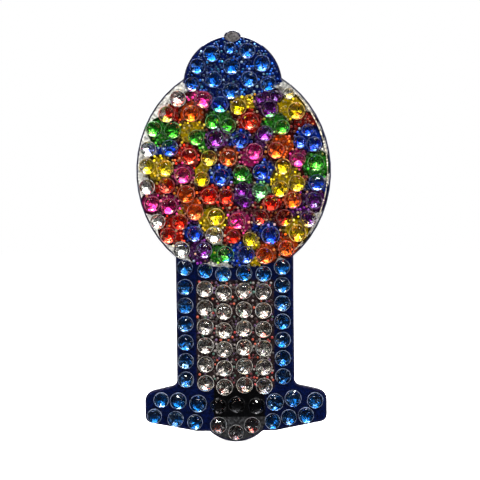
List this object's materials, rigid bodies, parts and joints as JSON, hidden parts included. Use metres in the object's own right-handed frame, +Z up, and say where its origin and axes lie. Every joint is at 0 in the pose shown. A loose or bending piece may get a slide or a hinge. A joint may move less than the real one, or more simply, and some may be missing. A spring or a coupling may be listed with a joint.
{
  "type": "crystal gumball machine sticker",
  "caption": "Flat stick-on badge in the shape of a gumball machine, covered in domed clear stones and beads over a printed film, with a peel-off liner.",
  "frame": {"origin": "centre of the adhesive's back face: on the outline's mirror line, half way up", "axes": "+Z up the badge from its foot to its lid knob, +Y out of its back towards the wall it sticks to, +X to the right seen from the front"},
  "size_m": [0.027, 0.0027, 0.057],
  "materials": {
    "liner_paper": "waxy",
    "adhesive": "tacky clear",
    "carrier_foam": "fine foam",
    "printed_film": "printed",
    "clear_resin": "clear gloss",
    "beads_blue": "gloss",
    "beads_mixed": "gloss",
    "beads_silver": "gloss",
    "crystal_lid_blue": "clear faceted, tinted by the print beneath",
    "crystal_violet": "clear faceted, tinted by the print beneath",
    "crystal_red_orange": "clear faceted, tinted by the print beneath",
    "crystal_green": "clear faceted, tinted by the print beneath",
    "crystal_blue": "clear faceted, tinted by the print beneath",
    "crystal_yellow": "clear faceted, tinted by the print beneath",
    "crystal_orange": "clear faceted, tinted by the print beneath",
    "crystal_pink": "clear faceted, tinted by the print beneath",
    "crystal_red": "clear faceted, tinted by the print beneath",
    "crystal_amber": "clear faceted, tinted by the print beneath",
    "crystal_purple": "clear faceted, tinted by the print beneath",
    "crystal_body_blue": "clear faceted, tinted by the print beneath",
    "crystal_black": "clear faceted, tinted by the print beneath",
    "crystal_grey": "clear faceted, tinted by the print beneath",
    "crystal_foot_blue": "clear faceted, tinted by the print beneath",
    "crystal_silver": "clear faceted, tinted by the print beneath"
  },
  "bodies": {
    "badge": {"adhesive_sheet": "adhesive", "carrier_plate": "carrier_foam", "printed_film": "printed_film", "clear_resin_coat": "clear_resin", "bead_fill_lid": "beads_blue", "bead_fill_globe": "beads_mixed", "bead_fill_panel": "beads_silver", "stone_row_lid_top": "crystal_lid_blue", "stone_row_lid_middle": "crystal_lid_blue", "stone_row_lid_bottom": "crystal_lid_blue", "stone_row_globe_01": "crystal_violet", "stone_row_globe_02": "crystal_red_orange", "stone_row_globe_03": "crystal_green", "stone_row_globe_04": "crystal_blue", "stone_row_globe_05": "crystal_yellow", "stone_row_globe_06": "crystal_orange", "stone_row_globe_07": "crystal_pink", "stone_row_globe_08": "crystal_red", "stone_row_globe_09": "crystal_amber", "stone_row_globe_10": "crystal_purple", "stone_row_collar": "crystal_body_blue", "stone_row_chute": "crystal_black", "stone_row_tray": "crystal_grey", "stone_row_foot_left_top": "crystal_foot_blue", "stone_row_foot_left_bottom": "crystal_foot_blue", "stone_row_foot_right_top": "crystal_foot_blue", "stone_row_foot_right_bottom": "crystal_foot_blue", "stone_column_left": "crystal_body_blue", "stone_column_right": "crystal_body_blue", "stone_row_panel_1": "crystal_silver", "stone_row_panel_2": "crystal_silver", "stone_row_panel_3": "crystal_silver", "stone_row_panel_4": "crystal_silver", "stone_row_panel_5": "crystal_silver", "stone_row_panel_6": "crystal_silver"},
    "liner_left": {"release_liner_left": "liner_paper"},
    "liner_right": {"release_liner_right": "liner_paper"}
  },
  "joints": [
    {"name": "liner_left_peel", "type": "hinge", "parent": "badge", "child": "liner_left", "pos_m": [-0.0135, 0, 0.00895], "axis": [0, 0, 1], "range_deg": [0, 120]},
    {"name": "liner_right_peel", "type": "hinge", "parent": "badge", "child": "liner_right", "pos_m": [0.0135, 0, 0.00895], "axis": [0, 0, -1], "range_deg": [0, 120]}
  ]
}
